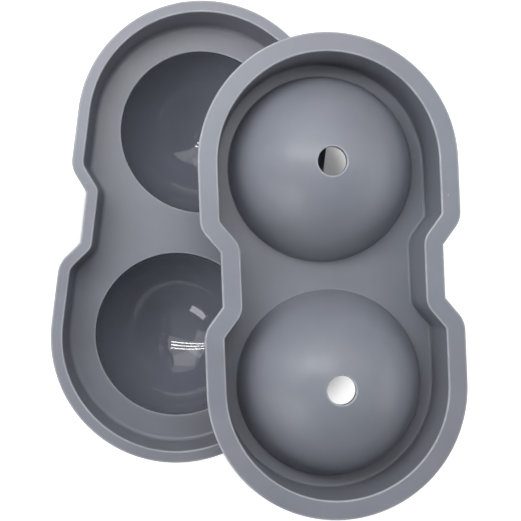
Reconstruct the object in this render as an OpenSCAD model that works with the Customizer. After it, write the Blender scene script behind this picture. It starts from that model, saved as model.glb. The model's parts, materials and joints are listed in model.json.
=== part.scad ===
// Two-piece mould for two ice balls, in millimetres.
// A base tray with two half-ball bowls takes a lid tray with two half-ball domes.
// Both follow one figure-of-eight outline: two round lobes and a stepped-in waist.
// The lid is drawn taken off, turned a little and laid across the base's rim.

/* [Ice balls] */
// Diameter of each ice ball
ball_d = 63.5; // [40:0.5:90]
// Gap between the two ice balls
ball_gap = 16.5; // [10:0.5:40]
// Diameter of the fill hole on top of each dome
fill_hole_d = 10.2; // [6:0.1:16]

/* [Outline] */
// Floor left between a dome and the lid's wall
floor_margin = 5; // [4:0.1:12]
// How far the waist steps in from the sides of the lobes
waist_inset = 6.8; // [3:0.1:10]
// Length of the waist, between the middles of its shoulders
waist_len = 32.6; // [24:0.1:42]
// Slope of the shoulders, from the long axis
shoulder_angle = 38.5; // [30:0.5:55]
// Tightest radius at the shoulders' outward corners
shoulder_round = 1; // [0.5:0.1:4]
// Tightest radius at the waist's inward corners
waist_round = 0.6; // [0.3:0.1:3]

/* [Walls] */
// Thickness of the bowls, the domes and the floors around them
shell = 3; // [2:0.1:4]
// Thickness of the lid's wall
lid_wall = 2; // [1.6:0.1:3]
// Thickness of the base's outer wall
base_wall = 2.4; // [1.8:0.1:4]
// Rounding of the edges of both rims and of the foot
edge_r = 0.6; // [0.2:0.05:0.8]
// Rounding under the lid's wall, and the fillet of the recess that takes it
seat_r = 1.6; // [0.8:0.1:1.8]
// Fillet between the lid's floor and wall, and under both rims
inner_r = 1; // [0.5:0.1:1.5]

/* [Lid] */
// Depth of the lid, from its rim to its floor
lid_depth = 24; // [14:0.5:30]
// Lean of the lid's wall from upright
lid_draft = 0.7; // [0:0.1:3]
// Width of the lid's flange
flange_w = 7; // [5:0.1:12]
// Thickness of the lid's flange
flange_t = 3; // [2:0.1:5]

/* [Base] */
// Depth of the recess for the lid, from the base's rim to its ledge
recess_depth = 20; // [8:0.5:24]
// Lean of the recess wall from upright
recess_draft = 2.4; // [0:0.1:5]
// Width of the base's rim
rim_w = 4.4; // [3.4:0.1:8]
// Thickness of the base's rim
rim_t = 3; // [2:0.1:5]
// Height of the bowls above the surface that the base stands on
bowl_lift = 1; // [0.5:0.1:6]

/* [Fit] */
// Gap between the closed lid's wall and the recess around it
lid_clearance = 0.5; // [0.3:0.1:1.5]
// Gap between the lid and the rim that it lies on
lay_gap = 0.2; // [0.1:0.05:0.5]

/* [Lid taken off] */
// How far the lid lies to the right of the base
lid_right = 51.7; // [30:0.1:60]
// How far the lid lies forward of the base
lid_forward = 10.5; // [0:0.1:30]
// Turn of the lid from the base's long axis
lid_turn = 9.3; // [-20:0.1:20]

/* [Hidden] */
$fn = 96;
silicone = [0.50, 0.52, 0.55];

ball_r = ball_d / 2;
shell_r = ball_r + shell;
pitch = ball_d + ball_gap;

// Heights: the lid's from its underside, the base's from its foot
lid_h = shell + lid_depth;
ledge_h = bowl_lift + shell_r;
base_h = ledge_h + recess_depth;

// Offsets run outwards from the inner edge of the lid's rim, where they are 0
function lid_face(z) = (z - lid_h) * tan(lid_draft);
function recess_face(z) = ledge_side + (z - ledge_h) * tan(recess_draft);
ledge_side = lid_face(0) + lid_wall + lid_clearance;
rim_in = recess_face(base_h);
rim_out = rim_in + rim_w;
foot_out = rim_in + base_wall;

// Outline at offset 0: a lobe's arc, a straight flank, a rounded shoulder and the waist
lobe_r = shell_r + floor_margin;
waist_x = lobe_r - waist_inset;
shoulder_r = shoulder_round + inner_r - lid_face(shell);
waist_r = max(flange_w, rim_out) + waist_round;
corner_reach = tan(shoulder_angle / 2);
slope_half = waist_inset / 2 / tan(shoulder_angle);
shoulder_y = waist_len / 2 + slope_half + shoulder_r * corner_reach;
waist_y = waist_len / 2 - slope_half - waist_r * corner_reach;

// Steps in each quarter of a lobe, each corner of the outline and each corner of a wall's section
lobe_steps = 15;
corner_steps = 4;
section_steps = 3;

function unit(v) = v / norm(v);
function turned(v, angle) = [v.x * cos(angle) - v.y * sin(angle), v.x * sin(angle) + v.y * cos(angle)];
function backwards(list) = [for (i = [len(list) - 1 : -1 : 0]) list[i]];
function arc(centre, r, from, to, steps) =
    [for (i = [0 : steps]) centre + turned([r, 0], from + (to - from) * i / steps)];

// A quarter of the outline at an offset, clockwise from the end of a lobe to the waist
function quarter(offset) = concat(
    arc([0, pitch / 2], lobe_r + offset, 90, 0, lobe_steps),
    arc([lobe_r - shoulder_r, shoulder_y], shoulder_r + offset, 0, -shoulder_angle, corner_steps),
    arc([waist_x + waist_r, waist_y], waist_r - offset, 180 - shoulder_angle, 180, corner_steps)
);

function right_side(offset) =
    let (upper = quarter(offset))
    concat(upper, [for (p = backwards(upper)) [p.x, -p.y]]);

// The whole outline at an offset: point i and point (count - i) mirror each other across the long axis
function outline(offset) =
    let (right = right_side(offset))
    concat(right, [for (i = [len(right) - 2 : -1 : 1]) [-right[i].x, right[i].y]]);

// The arc that rounds or fills one corner of a section
function corner_arc(before, at, after, r) =
    let (
        a = unit(before - at),
        b = unit(after - at),
        half = acos(a * b) / 2,
        centre = at + unit(a + b) * r / sin(half),
        start = at + a * r / tan(half) - centre,
        sweep = sign(cross(at - before, after - at)) * (180 - 2 * half)
    )
    [for (i = [0 : section_steps]) centre + turned(start, sweep * i / section_steps)];

// A section's [offset, height, radius] corners as a smooth path
// The first and the last corner only say which way the path starts and ends
function smooth_path(corners) =
    let (points = [for (c = corners) [c.x, c.y]])
    [for (i = [1 : len(corners) - 2])
        each corner_arc(points[i - 1], points[i], points[i + 1], corners[i].z)];

// A tray lofted around the outline
// Its section runs from under the floor, over the rim and back to the top of the floor
module tray(corners) {
    path = smooth_path(corners);
    rings = [for (p = path) [for (q = outline(p.x)) [q.x, q.y, p.y]]];
    count = len(rings[0]);
    middle = count / 2;
    top = (len(rings) - 1) * count;
    function rung(i) =
        i == 0 ? [0, 1, count - 1]
        : i == middle - 1 ? [i, middle, middle + 1]
        : [i, i + 1, count - i - 1, count - i];
    walls = [for (k = [0 : count : top - 1], i = [0 : count - 1])
        let (next = (i + 1) % count)
        [k + i, k + next, k + count + next, k + count + i]];
    underside = [for (i = [0 : middle - 1]) backwards(rung(i))];
    floor_top = [for (i = [0 : middle - 1]) [for (j = rung(i)) top + j]];
    polyhedron([for (ring = rings) each ring], concat(walls, underside, floor_top));
}

module at_balls() {
    for (end = [-1, 1])
        translate([0, end * pitch / 2]) children();
}

// The outside of a dome, from the middle of the floor that it stands on
module dome() {
    rotate_extrude() intersection() {
        circle(shell_r);
        translate([0, shell / 2]) square(2 * shell_r);
    }
}

module base_tray() {
    foot_in = foot_out - base_wall;
    under_ledge = ledge_h - shell;
    under_rim = base_h - rim_t;
    color(silicone)
    difference() {
        union() {
            tray([
                [-lobe_r, under_ledge, 0],
                [foot_in, under_ledge, inner_r],
                [foot_in, 0, edge_r],
                [foot_out, 0, edge_r],
                [foot_out, under_rim, inner_r],
                [rim_out, under_rim, edge_r],
                [rim_out, base_h, edge_r],
                [rim_in, base_h, edge_r],
                [ledge_side, ledge_h, seat_r],
                [-lobe_r, ledge_h, 0],
            ]);
            translate([0, 0, ledge_h]) mirror([0, 0, 1]) at_balls() dome();
        }
        translate([0, 0, ledge_h]) at_balls() sphere(ball_r);
    }
}

module lid_tray() {
    under_flange = lid_h - flange_t;
    color(silicone)
    translate([lid_right, -lid_forward, base_h + lay_gap]) rotate(lid_turn)
    difference() {
        union() {
            tray([
                [-lobe_r, 0, 0],
                [lid_face(0) + lid_wall, 0, seat_r],
                [lid_face(under_flange) + lid_wall, under_flange, inner_r],
                [flange_w, under_flange, edge_r],
                [flange_w, lid_h, edge_r],
                [lid_face(lid_h), lid_h, edge_r],
                [lid_face(shell), shell, inner_r],
                [-lobe_r, shell, 0],
            ]);
            at_balls() dome();
        }
        at_balls() sphere(ball_r);
        at_balls() cylinder(d = fill_hole_d, h = 2 * shell_r);
    }
}

base_tray();
lid_tray();
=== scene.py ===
"""A silicone mould for ice balls: both trays as smooth mouldings, their finish, and the stage."""

import json
import math
from typing import NamedTuple

import bmesh
import bpy
from bpy.props import FloatProperty, FloatVectorProperty, IntProperty, PointerProperty
from mathutils import Euler, Matrix, Vector


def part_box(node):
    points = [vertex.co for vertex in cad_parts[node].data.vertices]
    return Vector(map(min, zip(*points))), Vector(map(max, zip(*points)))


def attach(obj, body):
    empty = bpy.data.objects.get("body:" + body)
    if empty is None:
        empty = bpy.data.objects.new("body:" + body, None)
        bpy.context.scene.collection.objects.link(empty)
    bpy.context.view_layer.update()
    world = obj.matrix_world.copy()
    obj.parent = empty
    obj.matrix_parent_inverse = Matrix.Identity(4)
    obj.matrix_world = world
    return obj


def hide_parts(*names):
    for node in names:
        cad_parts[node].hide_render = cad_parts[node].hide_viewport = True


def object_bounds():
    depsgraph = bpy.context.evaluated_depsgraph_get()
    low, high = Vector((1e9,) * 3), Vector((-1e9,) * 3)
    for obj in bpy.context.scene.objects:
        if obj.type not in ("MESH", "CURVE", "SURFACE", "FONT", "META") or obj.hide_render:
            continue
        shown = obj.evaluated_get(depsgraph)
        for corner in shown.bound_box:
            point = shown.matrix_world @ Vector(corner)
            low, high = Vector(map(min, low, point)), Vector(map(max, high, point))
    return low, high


bl_info = {
    "name": "Ice Ball Mould",
    "version": (1, 0, 0),
    "blender": (4, 5, 0),
    "location": "3D View > Sidebar > Ice Mould",
    "description": "Builds the two trays of a silicone ice ball mould on their frame, with a stage",
    "category": "Add Mesh",
}

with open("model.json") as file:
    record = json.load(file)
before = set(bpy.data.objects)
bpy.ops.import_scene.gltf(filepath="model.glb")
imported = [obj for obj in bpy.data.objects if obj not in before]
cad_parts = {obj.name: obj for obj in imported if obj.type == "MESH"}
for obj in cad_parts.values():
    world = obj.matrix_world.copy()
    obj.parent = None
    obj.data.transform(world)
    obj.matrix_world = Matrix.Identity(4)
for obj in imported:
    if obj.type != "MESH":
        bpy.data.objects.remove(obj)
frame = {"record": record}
CAD_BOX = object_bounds()
MOUNTS = {mount["name"]: mount for mount in frame["record"]["mounts"]}
MM = 0.001


# Kinds of value that a user can change

def length(name, description, millimetres):
    """A length, shown in the scene's units"""
    return FloatProperty(name=name, description=description, default=millimetres * MM, min=0.0,
                         unit="LENGTH", precision=5)


def angle(name, description, degrees):
    """An angle, shown in degrees"""
    return FloatProperty(name=name, description=description, default=math.radians(degrees),
                         unit="ROTATION")


def share(name, description, value):
    """A number from 0 to 1"""
    return FloatProperty(name=name, description=description, default=value, min=0.0, max=1.0,
                         subtype="FACTOR")


def amount(name, description, value, least=0.0):
    """A number without a unit"""
    return FloatProperty(name=name, description=description, default=value, min=least)


def count(name, description, value, least):
    """A whole number"""
    return IntProperty(name=name, description=description, default=value, min=least)


def power(name, description, watts):
    """The power of a lamp"""
    return FloatProperty(name=name, description=description, default=watts, min=0.0, unit="POWER")


def colour(name, description, rgb):
    """A colour in linear light"""
    return FloatVectorProperty(name=name, description=description, default=rgb, size=3,
                               min=0.0, max=1.0, subtype="COLOR")


class TraySizes(bpy.types.PropertyGroup):
    """Sizes of the two trays: those of the solids that they replace, and finer detail"""
    ball_d: length("Ball", "Diameter of each ice ball", 63.5)
    ball_gap: length("Ball gap", "Gap between the two ice balls", 16.5)
    fill_hole_d: length("Fill hole", "Diameter of the hole on top of each dome",
                        2 * MOUNTS["fill_hole_back"]["dims"]["r_mm"])

    floor_margin: length("Floor margin", "Floor left between a dome and the lid's wall", 5)
    waist_inset: length("Waist inset",
                        "How far the waist steps in from the sides of the lobes", 6.8)
    waist_len: length("Waist length",
                      "Length of the waist, between the middles of its shoulders", 32.6)
    shoulder_angle: angle("Shoulder slope", "Slope of the shoulders, from the long axis", 38.5)
    shoulder_round: length("Shoulder rounding",
                           "Tightest radius at the shoulders' outward corners", 1)
    waist_round: length("Waist rounding", "Tightest radius at the waist's inward corners", 0.6)

    shell: length("Shell", "Thickness of the bowls, the domes and the floors around them", 3)
    lid_wall: length("Lid wall", "Thickness of the lid's wall", 2)
    base_wall: length("Base wall", "Thickness of the base's outer wall", 2.4)
    edge_r: length("Edge rounding", "Rounding of the edges of both rims and of the foot", 0.6)
    seat_r: length("Seat rounding",
                   "Rounding under the lid's wall, and fillet of the recess that takes it", 1.6)
    inner_r: length("Inner fillet",
                    "Fillet between the lid's floor and wall, and under both rims", 1)
    lip_r: length("Lip rounding",
                  "Rounding of the fill holes, and where the balls' insides end", 0.45)
    dome_foot_r: length("Dome fillet",
                        "Fillet where the outside of a dome or a bowl meets its floor", 0.5)

    lid_depth: length("Lid depth", "Depth of the lid, from its rim to its floor", 24)
    lid_draft: angle("Lid draft", "Lean of the lid's wall from upright", 0.7)
    flange_w: length("Flange width", "Width of the lid's flange", 7)
    flange_t: length("Flange thickness", "Thickness of the lid's flange", 3)

    recess_depth: length("Recess depth",
                         "Depth of the recess, from the base's rim to its ledge", 20)
    recess_draft: angle("Recess draft", "Lean of the recess wall from upright", 2.4)
    rim_w: length("Rim width", "Width of the base's rim", 4.4)
    rim_t: length("Rim thickness", "Thickness of the base's rim", 3)
    bowl_lift: length("Bowl lift",
                      "Height of the bowls above the surface that the base stands on", 1)
    lid_clearance: length("Lid clearance",
                          "Gap between the closed lid's wall and the recess", 0.5)

    lobe_step: angle("Lobe step", "Turn between two points around a lobe or a ball", 2.5)
    corner_steps: count("Corner steps", "Steps around each rounded corner", 8, least=2)
    longest_step: length("Longest step",
                         "Longest distance between two points along a straight", 3)
    support: length("Support",
                    "Distance from a rounding to the point that keeps its flat side flat", 0.25)
    weld: length("Weld", "Distance within which points are joined", 0.002)


class SiliconeFinish(bpy.types.PropertyGroup):
    """Colours and finish of the silicone"""
    matte_colour: colour("Matte", "Colour of the satin faces", (0.187, 0.203, 0.238))
    warm_colour: colour("Warm tint", "Colour that the satin faces drift towards in places",
                        (0.198, 0.203, 0.236))
    # The edge colour is partly wear and partly a painted highlight where the roundings catch the
    # light
    edge_wear_and_highlight_colour: colour("Edges", "Colour of the rubbed edges", (0.420, 0.435, 0.460))
    polished_colour: colour("Polished", "Colour of the polished insides of the balls",
                            (0.140, 0.148, 0.182))
    dust_colour: colour("Dust", "Colour of the dust that clings to silicone", (0.55, 0.56, 0.58))

    ior: amount("IOR", "Index of refraction of silicone rubber", 1.43, least=1.0)
    matte_roughness: share("Matte roughness", "Roughness of the satin faces", 0.37)
    matte_spread: share("Uneven matte", "How far the satin roughness varies in patches", 0.04)
    polished_roughness: share("Polished roughness", "Roughness of the polished faces", 0.03)
    polished_spread: share("Uneven polish",
                           "How far the polished roughness varies, as a share of itself", 0.3)
    gloss: share("Gloss", "How much clear gloss the polished faces have over the silicone", 0.55)

    cloud_size: length("Clouds", "Size of the patches in which tone and roughness vary", 18)
    mottle: share("Mottle", "How much the tone of the silicone varies from place to place", 0.05)
    drift_size: length("Drift", "Size of the areas that drift towards the warm tint", 60)
    # The edge bloom mixes wear from handling with a painted highlight on the roundings of the edges
    edge_wear_and_highlight: share("Edge bloom",
                      "How much of the edge colour the roundings of the edges take", 0.75)
    edge_faintest: share("Edge wear", "Share of the edge bloom that is left where it is faintest", 0.5)

    grain_size: length("Grain", "Size of the fine grain of the satin faces", 0.4)
    grain_depth: length("Grain depth", "Depth of the grain", 0.05)
    grain_relief: share("Grain relief", "Strength of the grain's relief", 0.12)
    grain_spread: share("Grain roughness", "How far the grain varies the satin roughness", 0.03)

    dust_size: length("Dust size", "Largest width of a dust speck", 0.45)
    dust_spacing: length("Dust spacing", "About how far apart the dust specks are", 9)
    dust_core: share("Dust core", "Share of a speck's width over which it is densest", 0.6)
    dust_cover: share("Dust cover", "How much of the silicone a speck hides", 0.85)
    dust_roughness: share("Dust roughness", "Roughness of the dust specks", 0.9)


class StageSetup(bpy.types.PropertyGroup):
    """Camera, light and floor"""
    camera_place: FloatVectorProperty(
        name="Camera place", description="Where the camera stands", size=3,
        default=(-8.11 * MM, -16.37 * MM, 474 * MM), subtype="XYZ", unit="LENGTH")
    camera_turn: FloatVectorProperty(
        name="Camera turn", description="Turn of the camera from straight down", size=3,
        default=[math.radians(a) for a in (0.566, -4.949, 6.983)], subtype="EULER", unit="ROTATION")
    lens: FloatProperty(
        name="Lens", description="Focal length of the camera", default=76.94, min=1, unit="CAMERA")
    clip_start: length("Clip start", "Distance from which the camera sees", 10)

    floor_size: length("Floor", "Width of the floor", 12000)
    floor_colour: colour("Floor colour", "Colour of the floor", (0.60, 0.60, 0.60))
    floor_roughness: share("Floor roughness", "Roughness of the floor", 0.9)
    floor_gloss: share("Floor gloss", "Strength of the floor's reflections", 0.1)
    floor_glow: share("Floor glow", "How much white the floor adds where it is seen", 0.78)
    floor_near: length("Floor near", "Distance up to which the lamps light the floor well", 300)
    floor_far: length("Floor far",
                      "Distance from which the floor's glow makes up for the lamps", 1100)
    shadow_reach: length("Shadow reach",
                         "How near something has to be to shade the floor's glow", 100)
    shadow_rays: count("Shadow rays",
                       "Rays that look for what shades the floor's glow", 64, least=1)
    shadow_full: share("Full shadow", "Share of open air at which the floor's glow is gone", 0.47)
    shadow_none: share("No shadow", "Share of open air at which the floor's glow is whole", 0.54)

    tube_power: power("Tubes", "Power of each tube overhead", 0.40)
    panel_level: amount("Panels", "Brightness of the soft panels", 1.0)
    fill: share("Fill", "Strength of the surround's light between horizon and zenith", 0.03)
    zenith: share("Zenith", "Strength of the surround's light straight above", 0.40)
    zenith_low: angle("Zenith fade",
                      "Height at which the light from above is down to the fill", 45)
    horizon_low: angle("Horizon", "Height up to which the surround shows white", 5)
    horizon_high: angle("Horizon fade",
                        "Height at which the white of the horizon is down to the fill", 16)


# Shapes in the plane

def arc(centre, radius, start, end, steps):
    """Points of an arc, with its angles in radians and both ends included"""
    angles = [start + (end - start) * i / steps for i in range(steps + 1)]
    return [centre + radius * Vector((math.cos(a), math.sin(a))) for a in angles]


def rounded(corners, steps):
    """A path through corners given as (point, radius), rounded by arcs where the radius isn't 0"""
    points = [point for point, radius in corners]
    path = []
    for i, (point, radius) in enumerate(corners):
        if radius == 0:
            path.append(point)
            continue
        before = (points[i - 1] - point).normalized()
        after = (points[i + 1] - point).normalized()
        half = before.angle(after) / 2
        centre = point + (before + after).normalized() * radius / math.sin(half)
        first = point + before * radius / math.tan(half) - centre
        last = point + after * radius / math.tan(half) - centre
        start = math.atan2(first.y, first.x)
        sweep = math.remainder(math.atan2(last.y, last.x) - start, math.tau)
        path += arc(centre, radius, start, start + sweep, steps)
    return path


def stepped(points, longest, support, closed=False):
    """The path with points added along its straights, close to their ends and evenly between"""
    ends = points[1:] + points[:1] if closed else points[1:]
    path = []
    for here, there in zip(points, ends):
        path.append(here)
        span = (there - here).length
        # A short straight has no room for them
        if span < 4 * support:
            continue
        inner = span - 2 * support
        steps = math.ceil(inner / longest)
        path += [here.lerp(there, (support + inner * i / steps) / span) for i in range(steps + 1)]
    return path if closed else path + [points[-1]]


class TrayShape:
    """Lengths and paths that follow from the sizes"""

    def __init__(self, sizes):
        self.sizes = s = sizes
        self.ball_r = s.ball_d / 2
        self.shell_r = self.ball_r + s.shell
        self.spacing = s.ball_d + s.ball_gap
        self.lid_h = s.shell + s.lid_depth
        self.ledge_h = s.bowl_lift + self.shell_r
        self.base_h = self.ledge_h + s.recess_depth
        self.ledge_side = self.lid_face(0) + s.lid_wall + s.lid_clearance
        self.rim_in = self.ledge_side + s.recess_depth * math.tan(s.recess_draft)
        self.rim_out = self.rim_in + s.rim_w
        self.foot_out = self.rim_in + s.base_wall
        self.ball_steps = round(math.tau / s.lobe_step)
        # A ball's section starts with one point on the flat and those of its lip
        self.lip_points = 1 + s.corner_steps + 1

    def lid_face(self, height):
        """Offset of the inside of the lid's wall, which is 0 at its rim"""
        return (height - self.lid_h) * math.tan(self.sizes.lid_draft)

    def outline(self):
        """The figure of eight along the inner edge of the lid's rim, counter-clockwise"""
        s = self.sizes
        lobe_r = self.shell_r + s.floor_margin
        waist_x = lobe_r - s.waist_inset
        shoulder_r = s.shoulder_round + s.inner_r - self.lid_face(s.shell)
        waist_r = max(s.flange_w, self.rim_out) + s.waist_round
        reach = math.tan(s.shoulder_angle / 2)
        slope_half = s.waist_inset / 2 / math.tan(s.shoulder_angle)
        shoulder_y = s.waist_len / 2 + slope_half + shoulder_r * reach
        waist_y = s.waist_len / 2 - slope_half - waist_r * reach
        waist_centre = Vector((waist_x + waist_r, waist_y))
        shoulder_centre = Vector((lobe_r - shoulder_r, shoulder_y))
        lobe_centre = Vector((0, self.spacing / 2))
        quarter_turn = math.radians(90)
        lobe_steps = round(quarter_turn / s.lobe_step)
        slope = s.shoulder_angle
        quarter = (arc(waist_centre, waist_r, math.pi, math.pi - slope, s.corner_steps)
                   + arc(shoulder_centre, shoulder_r, -slope, 0, s.corner_steps)
                   + arc(lobe_centre, lobe_r, 0, quarter_turn, lobe_steps))
        half = quarter + [Vector((-p.x, p.y)) for p in reversed(quarter[:-1])]
        whole = half + [-p for p in half]
        return stepped(whole, s.longest_step, s.support, closed=True)

    def section(self, corners):
        """A wall's section as (offset, height) points, from (offset, height, radius) corners"""
        s = self.sizes
        path = rounded([(Vector((x, z)), radius) for x, z, radius in corners], s.corner_steps)
        return stepped(path, s.longest_step, s.support)

    def lid_wall(self):
        """Section of the lid, from under its floor, around its flange and down to its floor"""
        s = self.sizes
        under_flange = self.lid_h - s.flange_t
        foot = self.lid_face(0) + s.lid_wall
        return self.section([
            (foot - (s.seat_r + 2 * s.support), 0, 0),
            (foot, 0, s.seat_r),
            (self.lid_face(under_flange) + s.lid_wall, under_flange, s.inner_r),
            (s.flange_w, under_flange, s.edge_r),
            (s.flange_w, self.lid_h, s.edge_r),
            (0, self.lid_h, s.edge_r),
            (self.lid_face(s.shell), s.shell, s.inner_r),
            (self.lid_face(s.shell) - s.inner_r - 2 * s.support, s.shell, 0),
        ])

    def base_wall(self):
        """Section of the base, from under its ledge, around its foot and rim and to its ledge"""
        s = self.sizes
        under_ledge = self.ledge_h - s.shell
        under_rim = self.base_h - s.rim_t
        return self.section([
            (self.rim_in - s.inner_r - 2 * s.support, under_ledge, 0),
            (self.rim_in, under_ledge, s.inner_r),
            (self.rim_in, 0, s.edge_r),
            (self.foot_out, 0, s.edge_r),
            (self.foot_out, under_rim, s.inner_r),
            (self.rim_out, under_rim, s.edge_r),
            (self.rim_out, self.base_h, s.edge_r),
            (self.rim_in, self.base_h, s.edge_r),
            (self.ledge_side, self.ledge_h, s.seat_r),
            (self.ledge_side - s.seat_r - 2 * s.support, self.ledge_h, 0),
        ])

    def ball_arc(self, radius, start, end, height, start_rounding, end_rounding):
        """Points of a ball's section between two angles, kept clear of the roundings at its ends"""
        start += math.copysign(2 * start_rounding / radius, end - start)
        end -= math.copysign(2 * end_rounding / radius, end - start)
        steps = math.ceil(abs(end - start) / self.sizes.lobe_step)
        return [(p, 0) for p in arc(Vector((0, height)), radius, start, end, steps)]

    def dome(self):
        """Section of a dome, from under the floor, up its inside, out of its hole and down again"""
        s = self.sizes
        hole_r = s.fill_hole_d / 2
        inside = math.acos(hole_r / self.ball_r)
        outside = math.acos(hole_r / self.shell_r)
        foot = math.asin(s.shell / self.shell_r)
        foot_x = self.shell_r * math.cos(foot)
        return rounded(
            [(Vector((self.ball_r + 2 * s.lip_r, 0)), 0), (Vector((self.ball_r, 0)), s.lip_r)]
            + self.ball_arc(self.ball_r, 0, inside, 0, s.lip_r, s.lip_r)
            + [(Vector((hole_r, self.ball_r * math.sin(inside))), s.lip_r),
               (Vector((hole_r, self.shell_r * math.sin(outside))), s.lip_r)]
            + self.ball_arc(self.shell_r, outside, foot, 0, s.lip_r, s.dome_foot_r)
            + [(Vector((foot_x, s.shell)), s.dome_foot_r),
               (Vector((foot_x + s.dome_foot_r + 2 * s.support, s.shell)), 0)], s.corner_steps)

    def dome_inside(self, dome):
        """Which points of a dome's section are on its inside, clear of the lip and of the hole"""
        middle_r = self.ball_r + self.sizes.shell / 2
        first_outside = next(i for i, p in enumerate(dome) if p.length > middle_r)
        return range(self.lip_points, first_outside - self.lip_points)

    def bowl_inside(self):
        """Section of the inside of a bowl, from the ledge to its lowest point"""
        s = self.sizes
        return rounded(
            [(Vector((self.ball_r + 2 * s.lip_r, self.ledge_h)), 0),
             (Vector((self.ball_r, self.ledge_h)), s.lip_r)]
            + self.ball_arc(self.ball_r, 0, -math.pi / 2, self.ledge_h, s.lip_r, 0),
            s.corner_steps)

    def bowl_outside(self):
        """Section of the outside of a bowl, from under the ledge to its lowest point"""
        s = self.sizes
        foot = -math.asin(s.shell / self.shell_r)
        foot_x = self.shell_r * math.cos(foot)
        under_ledge = self.ledge_h - s.shell
        return rounded(
            [(Vector((foot_x + s.dome_foot_r + 2 * s.support, under_ledge)), 0),
             (Vector((foot_x, under_ledge)), s.dome_foot_r)]
            + self.ball_arc(self.shell_r, foot, -math.pi / 2, self.ledge_h, s.dome_foot_r, 0),
            s.corner_steps)


# Mesh and node helpers

# Which side of a section its solid is on
LEFT, RIGHT = 1, -1


class Section:
    """A path in the plane, measured from an origin

    It knows the side that its solid is on, and which of its points are polished.
    """

    def __init__(self, points, solid, polished=range(0), origin=Vector((0, 0))):
        self.points = [p - origin for p in points]
        self.polish = [float(i in polished) for i in range(len(points))]
        self.solid = solid

    def edges(self, radius):
        """How far outwards each point bends, from 0 on flats to 1 on a rounding of the radius"""
        values = [0.0]
        for before, here, after in zip(self.points, self.points[1:], self.points[2:]):
            turn = -(here - before).angle_signed(after - here, 0.0)
            bend = 2 * turn / ((here - before).length + (after - here).length)
            values.append(min(max(self.solid * bend * radius, 0.0), 1.0))
        return values + [0.0]


def linked(obj):
    """The object, shown in the scene"""
    bpy.context.scene.collection.objects.link(obj)
    return obj


def line_object(name, sections, edge_r):
    """Sections as one mesh of edges, with how polished each point is and how near to an edge"""
    mesh = bpy.data.meshes.new(name)
    points, edges, values = [], [], {"polish": [], "edge": []}
    for section in sections:
        first = len(points)
        edges += [(first + i, first + i + 1) for i in range(len(section.points) - 1)]
        points += [(p.x, p.y, 0) for p in section.points]
        values["polish"] += section.polish
        values["edge"] += section.edges(edge_r)
    mesh.from_pydata(points, edges, [])
    for key, numbers in values.items():
        mesh.attributes.new(key, "FLOAT", "POINT").data.foreach_set("value", numbers)
    return linked(bpy.data.objects.new(name, mesh))


def loop_object(name, points):
    """A closed path as a curve"""
    curve = bpy.data.curves.new(name, "CURVE")
    curve.dimensions = "3D"
    spline = curve.splines.new("POLY")
    spline.points.add(len(points) - 1)
    for corner, p in zip(spline.points, points):
        corner.co = (p.x, p.y, 0, 1)
    spline.use_cyclic_u = True
    return linked(bpy.data.objects.new(name, curve))


# These nodes have sockets of the same name for each kind of value, so they go by number
COMPARE_INPUTS = {"FLOAT": (0, 1), "INT": (2, 3)}
MIX_INPUTS = {"FLOAT": (2, 3), "RGBA": (6, 7)}
MIX_OUTPUT = {"FLOAT": 0, "RGBA": 2}


class Nodes:
    """Adds nodes to a tree, with their inputs given as values or as other nodes' outputs"""

    def __init__(self, tree):
        self.tree = tree

    def __call__(self, kind, inputs=None, **settings):
        """The first output of a new node"""
        node = self.tree.nodes.new(kind)
        for name, value in settings.items():
            setattr(node, name, value)
        for key, value in (inputs or {}).items():
            for one in value if isinstance(value, list) else [value]:
                if isinstance(one, bpy.types.NodeSocket):
                    self.tree.links.new(one, node.inputs[key])
                else:
                    node.inputs[key].default_value = one
        return node.outputs[0]

    def maths(self, operation, a, b):
        """The result of an operation on two numbers"""
        return self("ShaderNodeMath", {0: a, 1: b}, operation=operation)

    def compared(self, operation, a, b, kind="FLOAT"):
        """Whether a comparison of two numbers holds"""
        first, second = COMPARE_INPUTS[kind]
        return self("FunctionNodeCompare", {first: a, second: b}, data_type=kind,
                    operation=operation)

    def ranged(self, value, low, high, to_low, to_high):
        """A number carried over from one range to another, and held at its ends"""
        return self("ShaderNodeMapRange", {"Value": value, "From Min": low, "From Max": high,
                                           "To Min": to_low, "To Max": to_high})

    def mixed(self, factor, a, b, kind="FLOAT"):
        """A number or a colour between two others"""
        first, second = MIX_INPUTS[kind]
        mix = self("ShaderNodeMix", {0: factor, first: a, second: b}, data_type=kind).node
        return mix.outputs[MIX_OUTPUT[kind]]


TRAY_TREE = "Moulded tray"


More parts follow.
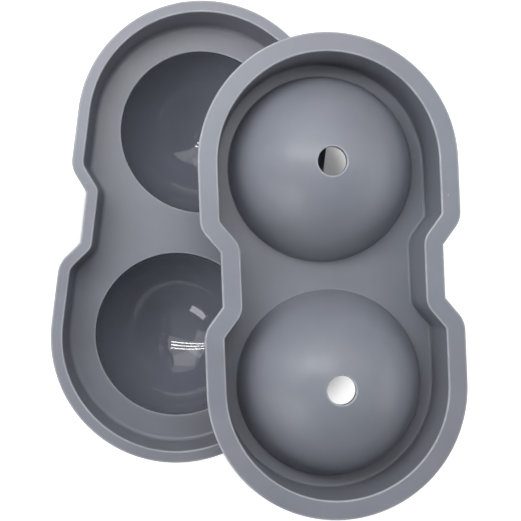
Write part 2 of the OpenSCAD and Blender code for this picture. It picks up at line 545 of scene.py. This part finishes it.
def tray_nodes():
    """Node tree of a tray: a wall swept around an outline, balls spun on their axes, flat floors"""
    tree = bpy.data.node_groups.new(TRAY_TREE, "GeometryNodeTree")
    kinds = {
        "Outline": "Object", "Wall Section": "Object", "Ball Section": "Object",
        "Ball Radius": "Float", "Ball Spacing": "Float", "Ball Steps": "Int",
        "Floor Height": "Float", "Underside Height": "Float", "Weld Distance": "Float",
        "Material": "Material",
    }
    for name, kind in kinds.items():
        tree.interface.new_socket(name, in_out="INPUT", socket_type="NodeSocket" + kind)
    tree.interface.new_socket("Tray", in_out="OUTPUT", socket_type="NodeSocketGeometry")
    add = Nodes(tree)
    given = tree.nodes.new("NodeGroupInput").outputs

    def lines_of(name):
        """The geometry of the object that an input names"""
        return add("GeometryNodeObjectInfo", {"Object": given[name]}).node.outputs["Geometry"]

    def section_of(name):
        """A section as a curve, turned over so that its heights end up along Z"""
        section = add("GeometryNodeMeshToCurve", {"Mesh": lines_of(name)})
        turned_over = Euler((math.pi, 0, 0))
        return add("GeometryNodeTransform", {"Geometry": section, "Rotation": turned_over})

    walls = add("GeometryNodeCurveToMesh",
                {"Curve": lines_of("Outline"), "Profile Curve": section_of("Wall Section")})

    ring = add("GeometryNodeCurvePrimitiveCircle",
               {"Resolution": given["Ball Steps"], "Radius": given["Ball Radius"]})
    ball = add("GeometryNodeCurveToMesh",
               {"Curve": ring, "Profile Curve": section_of("Ball Section")})
    first = add("ShaderNodeCombineXYZ", {"Y": add.maths("MULTIPLY", given["Ball Spacing"], -0.5)})
    step = add("ShaderNodeCombineXYZ", {"Y": given["Ball Spacing"]})
    places = add("GeometryNodeMeshLine", {"Count": 2, "Start Location": first, "Offset": step})
    balls = add("GeometryNodeInstanceOnPoints", {"Points": places, "Instance": ball})
    balls = add("GeometryNodeRealizeInstances", {"Geometry": balls})

    def welded(parts):
        """Parts joined into one, with the points that meet merged"""
        joined = add("GeometryNodeJoinGeometry", {"Geometry": parts})
        return add("GeometryNodeMergeByDistance",
                   {"Geometry": joined, "Distance": given["Weld Distance"]})

    shell = welded([walls, balls])
    neighbours = add("GeometryNodeInputMeshEdgeNeighbors")
    open_edge = add.compared("EQUAL", neighbours, 1, kind="INT")
    place = add("ShaderNodeSeparateXYZ", {"Vector": add("GeometryNodeInputPosition")}).node
    both = add.maths("ADD", given["Floor Height"], given["Underside Height"])
    middle = add.maths("MULTIPLY", both, 0.5)

    def filled(side, height):
        """The flat floor between the open edges on one side of the middle"""
        on_side = add.compared(side, place.outputs["Z"], middle)
        edges = add("FunctionNodeBooleanMath", {0: open_edge, 1: on_side}, operation="AND")
        loops = add("GeometryNodeMeshToCurve", {"Mesh": shell, "Selection": edges})
        flat = add("GeometryNodeFillCurve", {"Curve": loops}, mode="TRIANGLES")
        lift = add("ShaderNodeCombineXYZ", {"Z": given[height]})
        return add("GeometryNodeTransform", {"Geometry": flat, "Translation": lift})

    closed = welded([shell, filled("GREATER_THAN", "Floor Height"),
                     filled("LESS_THAN", "Underside Height")])
    closed = add("GeometryNodeSetShadeSmooth", {"Geometry": closed})
    closed = add("GeometryNodeRealizeInstances", {"Geometry": closed})
    closed = add("GeometryNodeSetMaterial", {"Geometry": closed, "Material": given["Material"]})
    tree.links.new(closed, tree.nodes.new("NodeGroupOutput").inputs[0])
    return tree


def tray_inputs(shape, wall, balls, floor, underside, material):
    """Inputs of the node tree: sections of wall and balls, heights of floor and underside"""
    edge_r = shape.sizes.edge_r
    return {
        "Outline": loop_object("Outline", shape.outline()),
        "Wall Section": line_object("Wall section", [wall], edge_r),
        "Ball Section": line_object("Ball section", balls, edge_r),
        "Ball Radius": shape.ball_r,
        "Ball Spacing": shape.spacing,
        "Ball Steps": shape.ball_steps,
        "Floor Height": floor,
        "Underside Height": underside,
        "Weld Distance": shape.sizes.weld,
        "Material": material,
    }


# Edges up to this length in metres are taken out of a tray
SHORTEST_EDGE = 1e-7


def moulded(name, inputs, place):
    """A tray made by the node tree from the given inputs, as a plain mesh at its place"""
    tree = bpy.data.node_groups.get(TRAY_TREE) or tray_nodes()
    carrier = bpy.data.objects.new(name + " carrier", bpy.data.meshes.new(name + " carrier"))
    modifier = linked(carrier).modifiers.new(TRAY_TREE, "NODES")
    modifier.node_group = tree
    for socket in tree.interface.items_tree:
        if socket.in_out == "INPUT":
            modifier[socket.identifier] = inputs[socket.name]
    carrier.update_tag()
    graph = bpy.context.evaluated_depsgraph_get()
    mesh = bpy.data.meshes.new_from_object(carrier.evaluated_get(graph))
    mesh.name = name
    made = bmesh.new()
    made.from_mesh(mesh)
    bmesh.ops.dissolve_degenerate(made, dist=SHORTEST_EDGE, edges=made.edges)
    open_edges = [edge for edge in made.edges if not edge.is_manifold]
    if not made.faces or open_edges:
        raise RuntimeError(f"{name}: {len(made.faces)} faces, {len(open_edges)} open edges")
    bmesh.ops.recalc_face_normals(made, faces=made.faces)
    made.to_mesh(mesh)
    made.free()
    mesh.transform(place)
    helpers = [value for value in inputs.values() if isinstance(value, bpy.types.Object)]
    for helper in [carrier] + helpers:
        bpy.data.objects.remove(helper)
    return linked(bpy.data.objects.new(name, mesh))


# Finish

WHITE = (1, 1, 1, 1)
# How rough the noises are, and the range that most of a noise falls in
NOISE_ROUGHNESS = 0.6
NOISE_RANGE = (0.3, 0.7)
# A narrower range, which gives areas that stand out more
CLEAR_RANGE = (0.35, 0.65)


def opaque(rgb):
    """A colour as a shader's socket takes it"""
    return (*rgb, 1)


def silicone(name, finish):
    """Blue-grey silicone: satin and faintly mottled, dark and glossy where polished, a little dusty

    Its edges are paler: partly wear from handling, partly a painted highlight where their roundings
    catch the light.
    """
    material = bpy.data.materials.new(name)
    material.use_nodes = True
    tree = material.node_tree
    shader = tree.nodes["Principled BSDF"].inputs
    add = Nodes(tree)
    place = tree.nodes.new("ShaderNodeTexCoord").outputs["Object"]
    polish = add("ShaderNodeAttribute", attribute_name="polish").node.outputs["Fac"]
    edge = add("ShaderNodeAttribute", attribute_name="edge").node.outputs["Fac"]

    def noise(size, detail):
        """A cloudy pattern with patches of about the size"""
        return add("ShaderNodeTexNoise", {"Vector": place, "Scale": 1 / size, "Detail": detail,
                                          "Roughness": NOISE_ROUGHNESS})

    def varied(pattern, low, high):
        """A number that follows a noise from low to high"""
        return add.ranged(pattern, *NOISE_RANGE, low, high)

    cloud = noise(finish.cloud_size, detail=3)
    drift = noise(finish.drift_size, detail=2)
    grain = noise(finish.grain_size, detail=2)
    specks = add("ShaderNodeTexVoronoi", {"Vector": place, "Scale": 1 / finish.dust_spacing})
    speck_r = finish.dust_size / finish.dust_spacing / 2
    dust = add.ranged(specks, speck_r, finish.dust_core * speck_r, 0.0, finish.dust_cover)

    satin = add.mixed(add.ranged(drift, *CLEAR_RANGE, 0.0, 1.0),
                      opaque(finish.matte_colour), opaque(finish.warm_colour), kind="RGBA")
    # Paler edges: wear from handling, and a painted highlight where the roundings catch the light
    bloom = varied(cloud, finish.edge_faintest * finish.edge_wear_and_highlight, finish.edge_wear_and_highlight)
    satin = add.mixed(add.maths("MULTIPLY", edge, bloom), satin, opaque(finish.edge_wear_and_highlight_colour),
                      kind="RGBA")
    plain = add.mixed(polish, satin, opaque(finish.polished_colour), kind="RGBA")
    tone = varied(cloud, 1 - finish.mottle, 1 + finish.mottle)
    toned = add("ShaderNodeVectorMath", {0: plain, "Scale": tone}, operation="SCALE")
    dusty = add.mixed(dust, toned, opaque(finish.dust_colour), kind="RGBA")
    tree.links.new(dusty, shader["Base Color"])

    uneven = varied(cloud, finish.matte_roughness - finish.matte_spread,
                    finish.matte_roughness + finish.matte_spread)
    grainy = add.maths("ADD", uneven, varied(grain, -finish.grain_spread, finish.grain_spread))
    glossy = varied(cloud, (1 - finish.polished_spread) * finish.polished_roughness,
                    (1 + finish.polished_spread) * finish.polished_roughness)
    rough = add.mixed(dust, add.mixed(polish, grainy, glossy), finish.dust_roughness)
    tree.links.new(rough, shader["Roughness"])
    shader["IOR"].default_value = finish.ior
    tree.links.new(add.maths("MULTIPLY", polish, finish.gloss), shader["Coat Weight"])
    shader["Coat Roughness"].default_value = finish.polished_roughness
    shader["Coat IOR"].default_value = finish.ior

    relief = add.ranged(polish, 0.0, 1.0, finish.grain_relief, 0.0)
    bump = add("ShaderNodeBump", {"Strength": relief, "Distance": finish.grain_depth,
                                  "Height": grain})
    tree.links.new(bump, shader["Normal"])
    return material


def shows_background(add):
    """1 for rays from the camera and those reflected or refracted, 0 for scattered light"""
    path = add("ShaderNodeLightPath").node.outputs
    seen = add.maths("MAXIMUM", path["Is Camera Ray"], path["Is Glossy Ray"])
    return add.maths("MAXIMUM", seen, path["Is Transmission Ray"])


# Operators

class ICEMOULD_OT_base_tray(bpy.types.Operator):
    """Make the base tray, with its recess and two polished bowls"""
    bl_idname = "icemould.base_tray"
    bl_label = "Base Tray"

    def execute(self, context):
        shape = TrayShape(context.scene.icemould_sizes)
        ball_edge = Vector((shape.ball_r, 0))
        inside = shape.bowl_inside()
        polished = range(shape.lip_points, len(inside))
        tray = moulded("base_tray_silicone", tray_inputs(
            shape,
            wall=Section(shape.base_wall(), LEFT),
            balls=[Section(inside, LEFT, polished, origin=ball_edge),
                   Section(shape.bowl_outside(), RIGHT, origin=ball_edge)],
            floor=shape.ledge_h,
            underside=shape.ledge_h - shape.sizes.shell,
            material=silicone("base_silicone", context.scene.icemould_finish),
        ), Matrix.Identity(4))
        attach(tray, "base")
        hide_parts("base_tray")
        return {"FINISHED"}


class ICEMOULD_OT_lid_tray(bpy.types.Operator):
    """Make the lid tray, with its flange, two domes and their fill holes"""
    bl_idname = "icemould.lid_tray"
    bl_label = "Lid Tray"

    def execute(self, context):
        shape = TrayShape(context.scene.icemould_sizes)
        ball_edge = Vector((shape.ball_r, 0))
        dome = shape.dome()
        tray = moulded("lid_tray_silicone", tray_inputs(
            shape,
            wall=Section(shape.lid_wall(), LEFT),
            balls=[Section(dome, RIGHT, shape.dome_inside(dome), origin=ball_edge)],
            floor=shape.sizes.shell,
            underside=0.0,
            material=silicone("lid_silicone", context.scene.icemould_finish),
        ), self.place())
        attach(tray, "lid")
        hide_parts("lid_tray")
        return {"FINISHED"}

    def place(self):
        """Where the lid lies: the middle of its underside and its turn, from its fill holes"""
        back, front = (Vector(MOUNTS["fill_hole_" + end]["pos_m"]) for end in ("back", "front"))
        middle = (back + front) / 2
        along = back - front
        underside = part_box("lid_tray")[0].z
        turn = math.atan2(-along.x, along.y)
        lift = Matrix.Translation((middle.x, middle.y, underside))
        return lift @ Matrix.Rotation(turn, 4, "Z")


# Tubes overhead, lying from side to side: how far back each hangs, their place and size in metres
TUBES = {"tube_1": 0.079, "tube_2": 0.115, "tube_3": 0.156}
TUBE_MIDDLE = -0.2
TUBE_HEIGHT = 0.45
TUBE_SIZE = (0.495, 0.0095)


class SoftPanel(NamedTuple):
    """A soft panel around the object, which it faces

    Its height above the horizon, heading and turn are in degrees, its lengths in metres.
    """
    height: float
    heading: float
    distance: float
    size: tuple
    watts: float
    turn: float = 0


PANELS = {
    "panel_top": SoftPanel(63, 82, 0.60, size=(1.00, 0.48), watts=1.75),
    "panel_left_back": SoftPanel(41, 118, 0.70, size=(0.60, 0.44), watts=0.80),
    "panel_left": SoftPanel(42, 165, 0.70, size=(0.45, 0.45), watts=0.85),
    "panel_right_back": SoftPanel(50, 42, 0.70, size=(0.50, 0.50), watts=0.28),
    "panel_right": SoftPanel(24, 0, 0.70, size=(0.60, 0.30), watts=1.25),
    "panel_front_left": SoftPanel(26, 225, 0.70, size=(0.60, 0.30), watts=1.05),
    "softbox_front_left": SoftPanel(42, 230, 0.60, size=(0.24, 0.10), watts=0.40, turn=15),
}


class ICEMOULD_OT_stage(bpy.types.Operator):
    """Set up the floor, the light and the camera"""
    bl_idname = "icemould.stage"
    bl_label = "Stage"

    def execute(self, context):
        stage = context.scene.icemould_stage
        self.add_floor(stage)
        self.add_lights(stage)
        self.add_world(context.scene, stage)
        self.add_camera(context.scene, stage)
        context.scene.view_settings.view_transform = "Standard"
        return {"FINISHED"}

    def add_floor(self, stage):
        """A pale floor that shows as white, and keeps the shadows on it"""
        mesh = bpy.data.meshes.new("floor")
        half = stage.floor_size / 2
        corners = [(-half, -half, 0), (half, -half, 0), (half, half, 0), (-half, half, 0)]
        mesh.from_pydata(corners, [], [(0, 1, 2, 3)])
        floor = linked(bpy.data.objects.new("floor", mesh))
        material = bpy.data.materials.new("floor")
        material.use_nodes = True
        tree = material.node_tree
        add = Nodes(tree)
        shader = tree.nodes["Principled BSDF"].inputs
        shader["Base Color"].default_value = opaque(stage.floor_colour)
        shader["Roughness"].default_value = stage.floor_roughness
        shader["Specular IOR Level"].default_value = stage.floor_gloss
        shader["Emission Color"].default_value = WHITE
        open_air = add("ShaderNodeAmbientOcclusion", {"Distance": stage.shadow_reach},
                       samples=stage.shadow_rays).node.outputs["AO"]
        place = tree.nodes.new("ShaderNodeTexCoord").outputs["Object"]
        away = add("ShaderNodeVectorMath", {0: place}, operation="LENGTH").node.outputs["Value"]
        level = add.ranged(away, stage.floor_near, stage.floor_far, stage.floor_glow, 1.0)
        lit = add.ranged(open_air, stage.shadow_full, stage.shadow_none, 0.0, level)
        glow = add.maths("MULTIPLY", lit, shows_background(add))
        tree.links.new(glow, shader["Emission Strength"])
        mesh.materials.append(material)

    def add_lamp(self, name, place, aim, size, watts, turn=0.0):
        """A soft rectangular lamp at a place, facing another"""
        lamp = bpy.data.lights.new(name, "AREA")
        lamp.energy = watts
        lamp.shape = "RECTANGLE"
        lamp.size, lamp.size_y = size
        hung = linked(bpy.data.objects.new(name, lamp))
        hung.location = place
        facing = (place - aim).to_track_quat("Z", "Y").to_matrix()
        hung.rotation_euler = (facing @ Matrix.Rotation(turn, 3, "Z")).to_euler()

    def add_lights(self, stage):
        """Three tubes overhead and soft panels around, as in a light box"""
        for name, back in TUBES.items():
            place = Vector((TUBE_MIDDLE, back, TUBE_HEIGHT))
            below = place - Vector((0, 0, 1))
            self.add_lamp(name, place, below, TUBE_SIZE, stage.tube_power)
        middle = (CAD_BOX[0] + CAD_BOX[1]) / 2
        for name, panel in PANELS.items():
            towards = Vector((panel.distance, 0, 0))
            towards.rotate(Euler((0, -math.radians(panel.height), math.radians(panel.heading))))
            self.add_lamp(name, middle + towards, middle, panel.size,
                          panel.watts * stage.panel_level, math.radians(panel.turn))

    def add_world(self, scene, stage):
        """A studio whose horizon shows white, with a light of its own that grows to the zenith"""
        scene.world = bpy.data.worlds.new("studio")
        scene.world.use_nodes = True
        tree = scene.world.node_tree
        background = tree.nodes["Background"].inputs
        background["Color"].default_value = WHITE
        add = Nodes(tree)
        direction = tree.nodes.new("ShaderNodeTexCoord").outputs["Generated"]
        height = add("ShaderNodeSeparateXYZ", {"Vector": direction}).node.outputs["Z"]
        horizon = add.ranged(height, math.sin(stage.horizon_low), math.sin(stage.horizon_high),
                             1.0, stage.fill)
        above = add.ranged(height, math.sin(stage.zenith_low), 1.0, stage.fill, stage.zenith)
        seen = add.maths("MULTIPLY", horizon, shows_background(add))
        tree.links.new(add.maths("MAXIMUM", seen, above), background["Strength"])

    def add_camera(self, scene, stage):
        """The camera, fitted to the photograph"""
        camera = linked(bpy.data.objects.new("camera", bpy.data.cameras.new("camera")))
        camera.data.lens = stage.lens
        camera.data.clip_start = stage.clip_start
        camera.location = stage.camera_place
        camera.rotation_euler = stage.camera_turn
        scene.camera = camera


class ICEMOULD_PT_sidebar(bpy.types.Panel):
    """Sizes, finish and stage of the ice ball mould"""
    bl_label = "Ice Ball Mould"
    bl_space_type = "VIEW_3D"
    bl_region_type = "UI"
    bl_category = "Ice Mould"

    def draw(self, context):
        """A button for each operator, and a box for each group of values"""
        for operator in OPERATORS:
            self.layout.operator(operator.bl_idname)
        for group, scene_name in GROUPS.items():
            box = self.layout.box()
            for name in group.__annotations__:
                box.prop(getattr(context.scene, scene_name), name)


GROUPS = {
    TraySizes: "icemould_sizes",
    SiliconeFinish: "icemould_finish",
    StageSetup: "icemould_stage",
}
OPERATORS = (ICEMOULD_OT_base_tray, ICEMOULD_OT_lid_tray, ICEMOULD_OT_stage)
CLASSES = (*GROUPS, *OPERATORS, ICEMOULD_PT_sidebar)


def register():
    """Add the classes, and the groups of values to the scene"""
    for each in CLASSES:
        bpy.utils.register_class(each)
    for group, name in GROUPS.items():
        setattr(bpy.types.Scene, name, PointerProperty(type=group))


def unregister():
    """Take away what register adds"""
    for name in GROUPS.values():
        delattr(bpy.types.Scene, name)
    for each in reversed(CLASSES):
        bpy.utils.unregister_class(each)


def main():
    """Make both trays and the stage"""
    register()
    bpy.ops.icemould.base_tray()
    bpy.ops.icemould.lid_tray()
    bpy.ops.icemould.stage()


if __name__ == "__main__":
    main()
